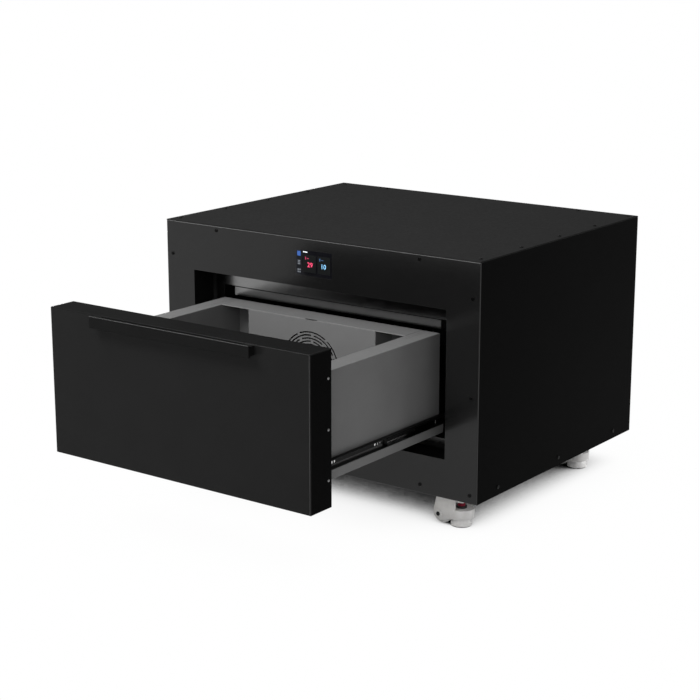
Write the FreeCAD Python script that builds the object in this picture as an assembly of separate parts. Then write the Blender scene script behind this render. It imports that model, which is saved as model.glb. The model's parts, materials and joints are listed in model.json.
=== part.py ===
import FreeCAD, Part
import math
import os

# Drawer-type filament dryer on levelling casters, drawer pulled out.
# Millimetres, +X right, +Y back, +Z up. The origin is on the floor under the middle of the whole
# outline, drawer included.

# Outer cabinet
cabinet_width = 740.0
service_depth = 142.0
cabinet_height = 450.0
ground_clearance = 60.0
sheet = 2.0
flange_width = 18.0
top_lip = 14.0
pan_lift = 4.0
edge_radius = 1.2

# Front opening and drawer front
opening_width = 600.0
opening_height = 281.0
opening_bottom = 74.0
drawer_gap = 3.0
drawer_front_thickness = 56.5
drawer_open = 394.0
thin_sheet = 1.5
bend_radius = 1.5
back_plate_flange = 15.0
handle_length = 366.0
handle_height = 21.5
handle_thickness = 4.0
handle_finger_gap = 14.0
handle_rise = 1.4
handle_post_width = 18.0
handle_post_height = 17.0
handle_edge_radius = 1.0

# Seal between drawer front and chamber
gasket_thickness = 3.0
gasket_width = 8.0
gasket_gap = 0.5

# Drawer box and its runners
drawer_box_width = 516.0
drawer_box_length = 380.0
drawer_box_bottom = 110.5
drawer_box_height = 187.0
drawer_wall = 40.0
drawer_floor_depth = 20.0
drawer_rear_depth = 54.0
rear_cover_width = 304.0
rim_slit_width = 25.0
rim_slit_depth = 3.0
keyhole_radius = 4.0
keyhole_inset = 36.0
keyhole_drop = 26.0
ledge_height = 16.0
ledge_reach = 10.0
slide_thickness = 12.7
slide_height = 17.0
slide_sheet = 1.2
slide_play = 0.3

# Heated chamber
chamber_bottom = 92.0
chamber_height = 227.0
chamber_rear_clearance = 11.5
face_frame_border = 22.0
ceiling_lip_width = 494.0
ceiling_lip_drop = 19.0
side_insulation = 40.0
return_slots = 10
return_pitch = 16.0
return_width = 6.0
return_height = 120.0
return_gap = 15.0

# Fan and grille
fan_size = 120.0
fan_depth = 25.0
fan_bore_radius = 57.0
fan_height = 206.7
fan_shaft_radius = 3.0
fan_hub_radius = 20.0
fan_hub_setback = 2.0
spider_depth = 5.0
spider_arm = 6.0
blade_count = 7
blade_clearance = 1.5
blade_thickness = 2.0
blade_pitch_deg = 35.0
running_play = 0.05
fan_end_play = 0.3
grille_outer_radius = 67.5
grille_pitch = 6.0
grille_slot = 3.0
grille_rings = 9
grille_arcs = 6
grille_bridge = 6.0
grille_first_gap_deg = 55.0

# Heater, electronics and inlet
duct_size = 150.0
duct_depth = 70.0
duct_slots = 6
duct_slot_pitch = 18.0
duct_slot_height = 6.0
duct_slot_length = 100.0
heater_height = 30.0
heater_depth = 26.0
heater_gap = 6.0
heater_rim = 5.0
heater_slots = 12
heater_slot_width = 6.8
display_width = 86.0
display_height = 49.0
display_centre = 402.0
display_play = 0.2
display_module_depth = 12.0
display_module_border = 5.0
board_width = 120.0
board_height = 78.0
board_thickness = 1.6
standoff_length = 6.0
standoff_radius = 3.0
chip_size = 24.0
chip_thickness = 2.0
terminal_width = 20.0
terminal_depth = 12.0
terminal_margin = 6.0
relay_width = 16.0
relay_depth = 14.0
supply_length = 200.0
supply_depth = 105.0
supply_height = 50.0
supply_edge = 70.0
supply_rear_gap = 8.0
supply_slots = 11
supply_slot_pitch = 14.0
supply_slot_width = 6.0
supply_slot_depth = 2.0
supply_slot_margin = 15.0
sensor_length = 26.0
sensor_depth = 20.0
sensor_height = 12.0
sensor_edge = 108.7
sensor_rear_gap = 30.0
sensor_slots = 4
sensor_slot_pitch = 5.0
sensor_slot_width = 2.5
sensor_slot_height = 6.0
vent_rows = 8
vent_columns = 3
vent_pitch = 12.0
vent_column_pitch = 80.0
vent_height = 4.0
vent_length = 64.0
vent_rise = 40.0
inlet_flange = 2.0
inlet_flange_size = 54.0
inlet_body_size = 46.0
inlet_body_depth = 30.0
inlet_edge = 120.0
inlet_place_z = 110.0
socket_width = 24.0
socket_height = 17.0
socket_depth = 18.0
contact_width = 2.0
contact_height = 4.0
contact_setback = 4.0
contact_spread = 7.0
contact_row = 6.0
contact_raise = 5.0
rocker_drop = 13.0
rocker_length = 21.4
rocker_height = 12.0
rocker_depth = 8.0
rocker_tilt_deg = 8.0
rocker_pivot_depth = 3.2
rocker_play = 0.4
rocker_dish_radius = 20.0
rocker_dish_depth = 1.5
rocker_pin_radius = 1.5
rocker_pin_length = 1.5
pocket_depth = 14.0
pocket_height = 17.0

# Screws
screw_head_radius = 3.6
screw_head_height = 1.6
screw_shank_radius = 1.9
screw_shank_length = 5.0
screw_chamfer = 0.64
screw_edge = 15.0
screw_row_drop = 68.0
screw_row_pitch = 183.0
screw_rows = 3
front_screw_top_drop = 10.0
front_screw_top_edge = 130.0
front_screw_low_edge = 124.0
rear_screw_edge = 130.0
side_screw_inset = 73.0
top_screw_first = 24.0
top_screw_last = 14.0
top_screw_count = 5
side_screw_rise = 12.0
rivet_radius = 2.6
rivet_crown_radius = 1.6
rivet_height = 1.2
rivet_edge = 8.0
rivet_pitch = 88.0

# Casters
caster_edge = 57.0
caster_front_edge = 40.0
caster_rear_edge = 115.0
caster_plate_size = 56.0
caster_plate_thickness = 3.0
caster_gap = 0.3
caster_pivot_radius = 8.0
caster_inner_radius = 20.0
caster_wall = 4.0
caster_nose_bottom = 17.0
caster_nose_top = 34.0
caster_bridge = 6.0
caster_top_depth = 10.0
caster_skirt_gap = 2.0
wheel_radius = 21.0
wheel_width = 20.0
wheel_trail = 36.0
wheel_round = 2.5
wheel_dish_depth = 3.5
wheel_dish_radius = 15.0
wheel_hub_radius = 8.5
axle_radius = 4.0
axle_boss_radius = 9.5
axle_boss_chamfer = 5.7
foot_radius = 20.0
foot_lift = 2.0
foot_thickness = 4.0
foot_neck_radius = 12.0
foot_neck_height = 9.0
foot_collar_radius = 7.0
stem_radius = 5.0
thumb_radius = 10.0
thumb_height = 9.0
thumb_ribs = 12
thumb_groove = 1.2

# Places worked out from the driving sizes
half_width = cabinet_width / 2
cabinet_depth = drawer_front_thickness + drawer_box_length + chamber_rear_clearance + service_depth
handle_projection = handle_finger_gap + handle_thickness
front = (drawer_open + handle_projection - cabinet_depth - inlet_flange) / 2
rear = front + cabinet_depth
bottom = ground_clearance
top = bottom + cabinet_height
pan_bottom = bottom + pan_lift
pan_top = pan_bottom + sheet
half_opening = opening_width / 2
opening_low = bottom + opening_bottom
opening_high = opening_low + opening_height
recess_depth = drawer_front_thickness + gasket_gap + gasket_thickness
ledge_y = front + recess_depth
chamber_front = ledge_y + sheet
half_box = drawer_box_width / 2
half_chamber = half_box + slide_thickness
chamber_low = bottom + chamber_bottom
chamber_high = chamber_low + chamber_height
chamber_rear = front + drawer_front_thickness + drawer_box_length + chamber_rear_clearance
drawer_front_y = front - drawer_open
drawer_back_y = drawer_front_y + drawer_front_thickness
half_drawer = half_opening - drawer_gap
drawer_low = opening_low + drawer_gap
drawer_high = opening_high - drawer_gap
box_rear = drawer_back_y + drawer_box_length
box_low = bottom + drawer_box_bottom
box_high = box_low + drawer_box_height
box_floor = box_low + drawer_floor_depth
box_inner = half_box - drawer_wall
ledge_top = box_low + ledge_height
slide_high = ledge_top + slide_height
fan_z = bottom + fan_height
fan_back = chamber_rear + sheet + fan_depth
display_z = bottom + display_centre
inlet_x = half_width - inlet_edge
inlet_z = bottom + inlet_place_z
tiny = 0.01
X_AXIS = FreeCAD.Vector(1, 0, 0)
Y_AXIS = FreeCAD.Vector(0, 1, 0)
Z_AXIS = FreeCAD.Vector(0, 0, 1)
ORIGIN = FreeCAD.Vector(0, 0, 0)


def block(x, y, z):
    """Box from three low and high pairs."""
    corner = FreeCAD.Vector(x[0], y[0], z[0])
    return Part.makeBox(x[1] - x[0], y[1] - y[0], z[1] - z[0], corner)


def wide(half, y, z):
    """Box that is symmetric about X = 0."""
    return block((-half, half), y, z)


def rod(start, axis, radius, length):
    return Part.makeCylinder(radius, length, FreeCAD.Vector(*start), axis)


def fuse(first, *others):
    return first.multiFuse(list(others)).removeSplitter()


def cut(shape, tools):
    return shape.cut(Part.makeCompound(tools))


def mirrored(shape):
    return shape.mirror(ORIGIN, X_AXIS)


def save(node, *solids):
    shape = solids[0] if len(solids) == 1 else Part.makeCompound(list(solids))
    shape.exportStep("parts/" + node + ".step")


def rounded(shape, radius, picks):
    """Rounds the edges whose middle point passes the test."""
    return shape.makeFillet(radius, [edge for edge in shape.Edges if picks(edge.CenterOfMass)])


def ring_frame(half_outer, z_outer, half_inner, z_inner, y):
    """Flat rectangular frame with a rectangular hole."""
    return wide(half_outer, y, z_outer).cut(wide(half_inner, y, z_inner))


# Screw places on the outer skin
screw_row_heights = [top - screw_row_drop - i * screw_row_pitch for i in range(screw_rows)]


def front_screw_places():
    rows = [(half_width - screw_edge, z) for z in screw_row_heights]
    rows.append((half_width - front_screw_top_edge, top - front_screw_top_drop))
    rows.append((half_width - front_screw_low_edge, screw_row_heights[-1]))
    return [(side * x, front, z) for x, z in rows for side in (-1, 1)]


def top_screw_places():
    edge = half_width - screw_edge
    pitch = (cabinet_depth - top_screw_first - top_screw_last) / (top_screw_count - 1)
    rows = [front + top_screw_first + i * pitch for i in range(top_screw_count)]
    places = [(side * edge, y, top) for y in rows for side in (-1, 1)]
    rear_x = half_width - rear_screw_edge
    return places + [(x, rear - screw_edge + sheet, top) for x in (-rear_x, 0.0, rear_x)]


def side_screw_places(side):
    rows = [front + side_screw_inset, front + cabinet_depth / 2, rear - side_screw_inset]
    return [(side * half_width, y, pan_bottom + side_screw_rise) for y in rows]


def back_screw_places():
    edge = half_width - screw_edge
    return [(side * edge, rear, z) for z in screw_row_heights for side in (-1, 1)]


def screws_on(places, outward):
    """Pan-head screws and the clearance holes that take them."""
    screws = []
    holes = []
    for place in places:
        base = FreeCAD.Vector(*place)
        inner = base - outward * screw_shank_length
        head = Part.makeCylinder(screw_head_radius, screw_head_height, base, outward)
        rim = [edge for edge in head.Edges if edge.Closed]
        crown = [e for e in rim if (e.CenterOfMass - base).dot(outward) > screw_head_height / 2]
        head = head.makeChamfer(screw_chamfer, crown)
        shank = Part.makeCylinder(screw_shank_radius, screw_shank_length, inner, outward)
        screws.append(fuse(head, shank))
        hole_radius = screw_shank_radius + running_play
        holes.append(Part.makeCylinder(hole_radius, screw_shank_length, inner, outward))
    return screws, holes


front_screws, front_holes = screws_on(front_screw_places(), -Y_AXIS)
top_screws, top_holes = screws_on(top_screw_places(), Z_AXIS)
right_screws, right_holes = screws_on(side_screw_places(1), X_AXIS)
left_screws, left_holes = screws_on(side_screw_places(-1), -X_AXIS)
back_screws, back_holes = screws_on(back_screw_places(), Y_AXIS)
all_screws = front_screws + top_screws + right_screws + left_screws + back_screws
all_holes = front_holes + top_holes + right_holes + left_holes + back_holes


def front_panel():
    panel = wide(half_width, (front, front + sheet), (bottom, top - sheet))
    panel = rounded(panel, edge_radius, lambda p: p.y < front + tiny and p.z < top - sheet - tiny)
    opening = wide(half_opening, (front, front + sheet), (opening_low, opening_high))
    window = wide(display_width / 2, (front, front + sheet),
                  (display_z - display_height / 2, display_z + display_height / 2))
    return cut(panel, [opening, window] + front_holes)


def top_panel():
    panel = wide(half_width, (front, rear), (top - sheet, top))
    panel = rounded(panel, edge_radius, lambda p: p.z > top - tiny)
    lip = wide(half_width - flange_width - sheet, (front + sheet, front + 2 * sheet),
               (top - sheet - top_lip, top - sheet))
    return cut(fuse(panel, lip), all_holes)


def right_side_panel():
    """Tray with a flange along each edge, turned into the cabinet."""
    outer = block((half_width - flange_width, half_width), (front + sheet, rear - sheet),
                  (bottom, top - sheet))
    hollow = block((half_width - flange_width, half_width - sheet),
                   (front + 2 * sheet, rear - 2 * sheet), (bottom + sheet, top - 2 * sheet))
    return outer.cut(hollow)


def back_panel():
    panel = wide(half_width, (rear - sheet, rear), (bottom, top - sheet))
    lip = wide(half_width - flange_width - sheet, (rear - sheet - flange_width, rear - sheet),
               (top - 2 * sheet, top - sheet))
    cutout_x = (inlet_x - inlet_body_size / 2, inlet_x + inlet_body_size / 2)
    cutout_z = (inlet_z - inlet_body_size / 2, inlet_z + inlet_body_size / 2)
    cuts = [block(cutout_x, (rear - sheet, rear), cutout_z)]
    for row in range(vent_rows):
        z = fan_z + vent_rise + row * vent_pitch
        for column in range(vent_columns):
            x = (column - (vent_columns - 1) / 2) * vent_column_pitch - vent_length / 2
            cuts.append(block((x, x + vent_length), (rear - sheet, rear), (z, z + vent_height)))
    return cut(fuse(panel, lip), cuts + all_holes)


def base_pan():
    """Floor tray whose turned-up rims are screwed to the sides and the front."""
    half_pan = half_width - sheet
    pan_y = (front + 2 * sheet, rear - 2 * sheet)
    tray = wide(half_pan, pan_y, (pan_bottom, pan_bottom + flange_width))
    hollow = wide(half_pan - sheet, pan_y, (pan_top, pan_bottom + flange_width))
    lip = wide(half_width - flange_width - sheet, (front + sheet, front + 2 * sheet),
               (pan_bottom, pan_bottom + flange_width))
    return cut(fuse(tray.cut(hollow), lip), all_holes)


def opening_reveal():
    """Sheet tunnel from the front panel back to the sealing ledge."""
    return ring_frame(half_opening + sheet, (opening_low - sheet, opening_high + sheet),
                      half_opening, (opening_low, opening_high), (front + sheet, ledge_y))


def chamber_face_frame():
    """Ledge plate around the mouth of the chamber."""
    outer_z = (opening_low - face_frame_border, opening_high + face_frame_border)
    return ring_frame(half_opening + face_frame_border, outer_z, half_chamber,
                      (chamber_low, chamber_high), (ledge_y, chamber_front))


def chamber_gasket():
    inner_z = (opening_low + gasket_width, opening_high - gasket_width)
    return ring_frame(half_opening, (opening_low, opening_high), half_opening - gasket_width,
                      inner_z, (ledge_y - gasket_thickness, ledge_y))


def chamber_floor():
    return wide(half_chamber, (chamber_front, chamber_rear), (chamber_low - thin_sheet, chamber_low))


def chamber_ceiling():
    """Ceiling sheet with a folded lip hanging behind the ledge plate."""
    plate = wide(half_chamber, (chamber_front, chamber_rear),
                 (chamber_high, chamber_high + thin_sheet))
    lip = wide(ceiling_lip_width / 2, (chamber_front, chamber_front + thin_sheet),
               (chamber_high - ceiling_lip_drop, chamber_high))
    return fuse(plate, lip)


def chamber_right_wall():
    return block((half_chamber, half_chamber + thin_sheet), (chamber_front, chamber_rear),
                 (chamber_low - thin_sheet, chamber_high + thin_sheet))


def chamber_rear_wall():
    """Rear wall with the fan opening and two rows of return-air slots."""
    wall = wide(half_chamber + thin_sheet, (chamber_rear, chamber_rear + sheet),
                (chamber_low - thin_sheet, chamber_high + thin_sheet))
    cuts = [rod((0, chamber_rear, fan_z), Y_AXIS, fan_bore_radius, sheet)]
    slot_z = (fan_z - return_height / 2, fan_z + return_height / 2)
    for column in range(return_slots):
        x = duct_size / 2 + return_gap + column * return_pitch
        slot = block((x, x + return_width), (chamber_rear, chamber_rear + sheet), slot_z)
        cuts += [slot, mirrored(slot)]
    return cut(wall, cuts)


def chamber_insulation():
    """Rigid foam against the sides, the top and the floor of the chamber."""
    y = (chamber_front, chamber_rear)
    wall_z = (chamber_low - thin_sheet, chamber_high + thin_sheet)
    wall_x = half_chamber + thin_sheet
    right = block((wall_x, wall_x + side_insulation), y, wall_z)
    over = wide(wall_x, y, (wall_z[1], wall_z[1] + side_insulation))
    under = wide(wall_x, y, (pan_top, wall_z[0]))
    return [right, mirrored(right), over, under]


def fan_frame():
    """Square fan body with a rear spider that carries the shaft."""
    mouth = chamber_rear + sheet
    half = fan_size / 2
    body = block((-half, half), (mouth, fan_back), (fan_z - half, fan_z + half))
    body = body.cut(rod((0, mouth, fan_z), Y_AXIS, fan_bore_radius, fan_depth))
    spider_y = (fan_back - spider_depth, fan_back)
    arm = spider_arm / 2
    reach = fan_bore_radius + arm
    spokes = [block((-reach, reach), spider_y, (fan_z - arm, fan_z + arm)),
              block((-arm, arm), spider_y, (fan_z - reach, fan_z + reach))]
    boss = rod((0, spider_y[0], fan_z), Y_AXIS, fan_hub_radius, spider_depth)
    shaft_length = fan_depth - spider_depth - 2 * fan_hub_setback
    shaft = rod((0, spider_y[0] - shaft_length, fan_z), Y_AXIS, fan_shaft_radius, shaft_length)
    return fuse(body, boss, shaft, *spokes)


def fan_rotor():
    """Hub and pitched blades that turn on the fan shaft."""
    hub_back = fan_back - spider_depth - fan_end_play
    hub_front = chamber_rear + sheet + fan_hub_setback
    hub_length = hub_back - hub_front
    hub = rod((0, hub_front, 0), Y_AXIS, fan_hub_radius, hub_length)
    tip = fan_bore_radius - blade_clearance
    root = fan_hub_radius - blade_thickness / 2
    half_blade = blade_thickness / 2
    blades = []
    for i in range(blade_count):
        blade = block((root, tip), (hub_front, hub_back), (-half_blade, half_blade))
        middle = FreeCAD.Vector(0, hub_front + hub_length / 2, 0)
        blade.rotate(middle, X_AXIS, blade_pitch_deg)
        blade.rotate(ORIGIN, Y_AXIS, 360.0 * i / blade_count)
        blades.append(blade)
    swept = rod((0, hub_front, 0), Y_AXIS, tip, hub_length)
    rotor = fuse(hub, *blades).common(swept)
    bore = rod((0, hub_front, 0), Y_AXIS, fan_shaft_radius + running_play, hub_length)
    rotor = rotor.cut(bore)
    rotor.translate(FreeCAD.Vector(0, 0, fan_z))
    return rotor


def heater_duct():
    """Open-fronted box over the fan, with intake slots in its back."""
    half = duct_size / 2
    y = (chamber_rear + sheet, chamber_rear + sheet + duct_depth)
    box = block((-half, half), y, (fan_z - half, fan_z + half))
    inner = half - thin_sheet
    hollow = block((-inner, inner), (y[0], y[1] - thin_sheet), (fan_z - inner, fan_z + inner))
    cuts = [hollow]
    stack = (duct_slots - 1) * duct_slot_pitch + duct_slot_height
    for row in range(duct_slots):
        z = fan_z - stack / 2 + row * duct_slot_pitch
        cuts.append(wide(duct_slot_length / 2, (y[1] - thin_sheet, y[1]), (z, z + duct_slot_height)))
    return cut(box, cuts)


def heater_element():
    """Finned heating block that spans the duct behind the fan."""
    half = duct_size / 2 - thin_sheet
    y = (fan_back + heater_gap, fan_back + heater_gap + heater_depth)
    core = wide(half, y, (fan_z - heater_height / 2, fan_z + heater_height / 2))
    half_slot = heater_height / 2 - heater_rim
    pitch = 2 * half / (heater_slots + 1)
    slots = []
    for i in range(heater_slots):
        x = -half + pitch * (i + 1) - heater_slot_width / 2
        slots.append(block((x, x + heater_slot_width), y, (fan_z - half_slot, fan_z + half_slot)))
    return cut(core, slots)


def display_glass():
    half = display_width / 2 - display_play
    height = display_height / 2 - display_play
    return wide(half, (front, front + sheet), (display_z - height, display_z + height))


def display_module():
    half = display_width / 2 + display_module_border
    height = display_height / 2 + display_module_border
    return wide(half, (front + sheet, front + sheet + display_module_depth),
                (display_z - height, display_z + height))


def control_board():
    """Circuit board on four standoffs behind the display."""
    back = front + sheet + display_module_depth
    y = (back + standoff_length, back + standoff_length + board_thickness)
    half = board_width / 2
    height = board_height / 2
    board = wide(half, y, (display_z - height, display_z + height))
    reach_x = display_width / 2
    reach_z = display_height / 2
    posts = [rod((sx * reach_x, back, display_z + sz * reach_z), Y_AXIS, standoff_radius, standoff_length)
             for sx in (-1, 1) for sz in (-1, 1)]
    chip = wide(chip_size / 2, (y[1], y[1] + chip_thickness),
                (display_z - chip_size / 2, display_z + chip_size / 2))
    edge = half - terminal_margin
    terminal_half = height - terminal_margin
    terminals = block((edge - terminal_width, edge), (y[1], y[1] + terminal_depth),
                      (display_z - terminal_half, display_z + terminal_half))
    relay = block((-edge, -edge + relay_width), (y[1], y[1] + relay_depth),
                  (display_z - chip_size, display_z))
    return fuse(board, chip, terminals, relay, *posts)


def power_supply():
    """Boxed supply on the base pan with cooling slots in its lid."""
    x = half_width - supply_edge - supply_length
    y = (rear - sheet - supply_rear_gap - supply_depth, rear - sheet - supply_rear_gap)
    lid = pan_top + supply_height
    box = block((x, x + supply_length), y, (pan_top, lid))
    row = (supply_slots - 1) * supply_slot_pitch + supply_slot_width
    slots = []
    for i in range(supply_slots):
        slot_x = x + (supply_length - row) / 2 + i * supply_slot_pitch
        slots.append(block((slot_x, slot_x + supply_slot_width),
                           (y[0] + supply_slot_margin, y[1] - supply_slot_margin),
                           (lid - supply_slot_depth, lid)))
    return cut(box, slots)


def humidity_sensor():
    """Slotted probe housing on the chamber ceiling."""
    x = half_chamber - sensor_edge
    y = (chamber_rear - sensor_rear_gap - sensor_depth, chamber_rear - sensor_rear_gap)
    low = chamber_high - sensor_height
    box = block((x, x + sensor_length), y, (low, chamber_high))
    row = (sensor_slots - 1) * sensor_slot_pitch + sensor_slot_width
    slots = []
    for i in range(sensor_slots):
        slot_x = x + (sensor_length - row) / 2 + i * sensor_slot_pitch
        slots.append(block((slot_x, slot_x + sensor_slot_width), y, (low, low + sensor_slot_height)))
    return cut(box, slots)


rocker_z = inlet_z - rocker_drop
rocker_y = rear - rocker_pivot_depth
pin_reach = rocker_length / 2 + rocker_pin_length


def power_inlet():
    """Panel module with a three-pin inlet above the pocket of the rocker."""
    half = inlet_body_size / 2
    rim = inlet_flange_size / 2
    x = inlet_x
    body = block((x - half, x + half), (rear - inlet_body_depth, rear), (inlet_z - half, inlet_z + half))
    rim_plate = block((x - rim, x + rim), (rear, rear + inlet_flange), (inlet_z - rim, inlet_z + rim))
    socket = block((x - socket_width / 2, x + socket_width / 2),
                   (rear - socket_depth, rear + inlet_flange), (inlet_z, inlet_z + socket_height))
    pocket_half = rocker_length / 2 + rocker_play
    pocket = block((x - pocket_half, x + pocket_half), (rear - pocket_depth, rear + inlet_flange),
                   (rocker_z - pocket_height / 2, rocker_z + pocket_height / 2))
    pivot_reach = pin_reach + rocker_play
    pivot = rod((x - pivot_reach, rocker_y, rocker_z), X_AXIS, rocker_pin_radius + running_play,
                2 * pivot_reach)
    module = cut(fuse(body, rim_plate), [socket, pocket, pivot])
    contacts = []
    for i in (-1, 0, 1):
        middle_x = x + i * contact_spread
        low = inlet_z + contact_row + (1 - abs(i)) * contact_raise - contact_height / 2
        contacts.append(block((middle_x - contact_width / 2, middle_x + contact_width / 2),
                              (rear - socket_depth, rear - contact_setback), (low, low + contact_height)))
    return fuse(module, *contacts)


def power_rocker():
    """Rocker that rests tilted on its pivot pins."""
    x = inlet_x
    half = rocker_length / 2
    face = rocker_y + rocker_depth / 2
    lobe = block((x - half, x + half), (face - rocker_depth, face),
                 (rocker_z - rocker_height / 2, rocker_z + rocker_height / 2))
    dish_y = face + rocker_dish_radius - rocker_dish_depth
    dish = rod((x - half, dish_y, rocker_z), X_AXIS, rocker_dish_radius, rocker_length)
    pins = rod((x - pin_reach, rocker_y, rocker_z), X_AXIS, rocker_pin_radius, 2 * pin_reach)
    rocker = fuse(lobe.cut(dish), pins)
    rocker.rotate(FreeCAD.Vector(x, rocker_y, rocker_z), X_AXIS, -rocker_tilt_deg)
    return rocker


# Telescopic slides: three nested channels on each side, the right side drawn and the left mirrored
def slide_channel(x, z, y, opens_right):
    outer = block(x, y, z)
    hollow_x = (x[0] + slide_sheet, x[1]) if opens_right else (x[0], x[1] - slide_sheet)
    return outer.cut(block(hollow_x, y, (z[0] + slide_sheet, z[1] - slide_sheet)))


def inset(z, steps):
    """Slide height taken in by a number of sheet and play steps from each edge."""
    step = steps * (slide_sheet + slide_play)
    return (z[0] + step, z[1] - step)


slide_z = (ledge_top, slide_high)
slide_step = slide_sheet + slide_play
slide_length = drawer_box_length
cabinet_slide_y = (chamber_front, chamber_front + slide_length)


def right_slide_drawer():
    y = (cabinet_slide_y[0] - drawer_open, cabinet_slide_y[1] - drawer_open)
    x = (half_box, half_chamber - 2 * slide_step)
    return slide_channel(x, slide_z, y, True)


def right_slide_middle():
    y = (cabinet_slide_y[0] - drawer_open / 2, cabinet_slide_y[1] - drawer_open / 2)
    x = (half_box + slide_step, half_chamber - slide_step)
    return slide_channel(x, inset(slide_z, 1), y, True)


def right_slide_cabinet():
    x = (half_box + 2 * slide_step, half_chamber)
    return slide_channel(x, inset(slide_z, 2), cabinet_slide_y, False)


# Drawer
def drawer_front_skin():
    """Painted pan that is the face, the rim and the edges of the drawer front."""
    outer = wide(half_drawer, (drawer_front_y, drawer_back_y), (drawer_low, drawer_high))
    outer = rounded(outer, bend_radius, lambda p: p.y < drawer_back_y - tiny)
    hollow = wide(half_drawer - thin_sheet, (drawer_front_y + thin_sheet, drawer_back_y),
                  (drawer_low + thin_sheet, drawer_high - thin_sheet))
    return outer.cut(hollow)


def drawer_back_plate():
    """Tray that closes the drawer front from behind, flanges turned forward."""
    half = half_drawer - thin_sheet
    z = (drawer_low + thin_sheet, drawer_high - thin_sheet)
    y = (drawer_back_y - back_plate_flange, drawer_back_y)
    outer = wide(half, y, z)
    hollow = wide(half - thin_sheet, (y[0], y[1] - thin_sheet), (z[0] + thin_sheet, z[1] - thin_sheet))
    return outer.cut(hollow)


def drawer_rivets():
    """Rivet heads on both edges of the drawer front."""
    middle = (drawer_low + drawer_high) / 2
    heads = []
    for i in (-1, 0, 1):
        z = middle + i * rivet_pitch
        head = Part.makeCone(rivet_radius, rivet_crown_radius, rivet_height,
                             FreeCAD.Vector(half_drawer, drawer_back_y - rivet_edge, z), X_AXIS)
        heads += [head, mirrored(head)]
    return heads


def drawer_handle():
    """Flat pull bar on two posts."""
    high = drawer_high + handle_rise
    low = high - handle_height
    bar_y = (drawer_front_y - handle_projection, drawer_front_y - handle_finger_gap)
    half = handle_length / 2
    bar = wide(half, bar_y, (low, high))
    bar = bar.makeFillet(min(handle_edge_radius, handle_thickness / 4), bar.Edges)
    margin = (handle_height - handle_post_height) / 2
    overlap = handle_thickness / 2
    post = block((half - handle_post_width - margin, half - margin),
                 (bar_y[1] - overlap, drawer_front_y), (low + margin, high - margin))
    return fuse(bar, post, mirrored(post))


def drawer_right_wall():
    """Double wall with a rim on top and a folded ledge under the slide."""
    y = (drawer_back_y, box_rear)
    outer = block((box_inner, half_box), y, (box_low, box_high))
    outer = rounded(outer, bend_radius, lambda p: p.z > box_high - tiny and y[0] < p.y < y[1])
    hollow = block((box_inner + thin_sheet, half_box - thin_sheet), y, (box_low, box_high - thin_sheet))
    shelf = block((half_box, half_box + ledge_reach), y, (ledge_top - thin_sheet, ledge_top))
    skirt = block((half_box + ledge_reach - thin_sheet, half_box + ledge_reach), y, (box_low, ledge_top))
    return fuse(outer.cut(hollow), shelf, skirt)


cover_front = box_rear - drawer_rear_depth
plate_front = box_rear - thin_sheet


def drawer_rear_wall():
    """Rear plate with the air opening, and the deep rim over the fan cover."""
    plate = wide(box_inner, (plate_front, box_rear), (box_low, box_high))
    rim = wide(box_inner, (cover_front, box_rear), (box_high - thin_sheet, box_high))
    rim_edge = min(bend_radius, thin_sheet / 2)
    rim = rounded(rim, rim_edge, lambda p: p.z > box_high - tiny and p.y < cover_front + tiny)
    slit = wide(rim_slit_width / 2, (cover_front, cover_front + rim_slit_depth),
                (box_high - thin_sheet, box_high))
    air = rod((0, plate_front, fan_z), Y_AXIS, fan_bore_radius, thin_sheet)
    holes = [rod((side * (box_inner - keyhole_inset), plate_front, box_high - keyhole_drop), Y_AXIS,
                 keyhole_radius, thin_sheet) for side in (-1, 1)]
    return cut(fuse(plate, rim), [slit, air] + holes)


def arc_slot(radius, start_deg, end_deg):
    """One curved slot of the grille, cut through the cover's front sheet."""
    def corner(r, deg):
        turn = math.radians(deg)
        return FreeCAD.Vector(r * math.cos(turn), cover_front, fan_z + r * math.sin(turn))
    outer = radius
    inner = radius - grille_slot
    middle = (start_deg + end_deg) / 2
    edges = [Part.Arc(corner(outer, start_deg), corner(outer, middle), corner(outer, end_deg)).toShape(),
             Part.LineSegment(corner(outer, end_deg), corner(inner, end_deg)).toShape(),
             Part.Arc(corner(inner, end_deg), corner(inner, middle), corner(inner, start_deg)).toShape(),
             Part.LineSegment(corner(inner, start_deg), corner(outer, start_deg)).toShape()]
    return Part.Face(Part.Wire(edges)).extrude(FreeCAD.Vector(0, thin_sheet, 0))


def drawer_rear_cover():
    """Fan cover with a grille of broken rings."""
    half = rear_cover_width / 2
    z = (box_floor, box_high - thin_sheet)
    box = wide(half, (cover_front, plate_front), z)
    box = rounded(box, bend_radius, lambda p: p.y < cover_front + tiny and abs(p.x) > half - tiny)
    hollow = wide(half - thin_sheet, (cover_front + thin_sheet, plate_front),
                  (z[0] + thin_sheet, z[1] - thin_sheet))
    pitch_deg = 360.0 / grille_arcs
    slots = []
    for ring in range(grille_rings):
        radius = grille_outer_radius - ring * grille_pitch
        bridge_deg = math.degrees(grille_bridge / (radius - grille_slot / 2))
        first = grille_first_gap_deg + pitch_deg / 2 * (ring % 2)
        for i in range(grille_arcs):
            gap = first + i * pitch_deg
            slots.append(arc_slot(radius, gap + bridge_deg / 2, gap + pitch_deg - bridge_deg / 2))
    return cut(box.cut(hollow), slots)


def drawer_floor():
    """Inner floor with edges turned down over its foam."""
    y = (drawer_back_y, plate_front)
    outer = wide(box_inner, y, (box_low, box_floor))
    hollow = wide(box_inner - thin_sheet, (y[0] + thin_sheet, y[1] - thin_sheet),
                  (box_low, box_floor - thin_sheet))
    return outer.cut(hollow)


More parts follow.
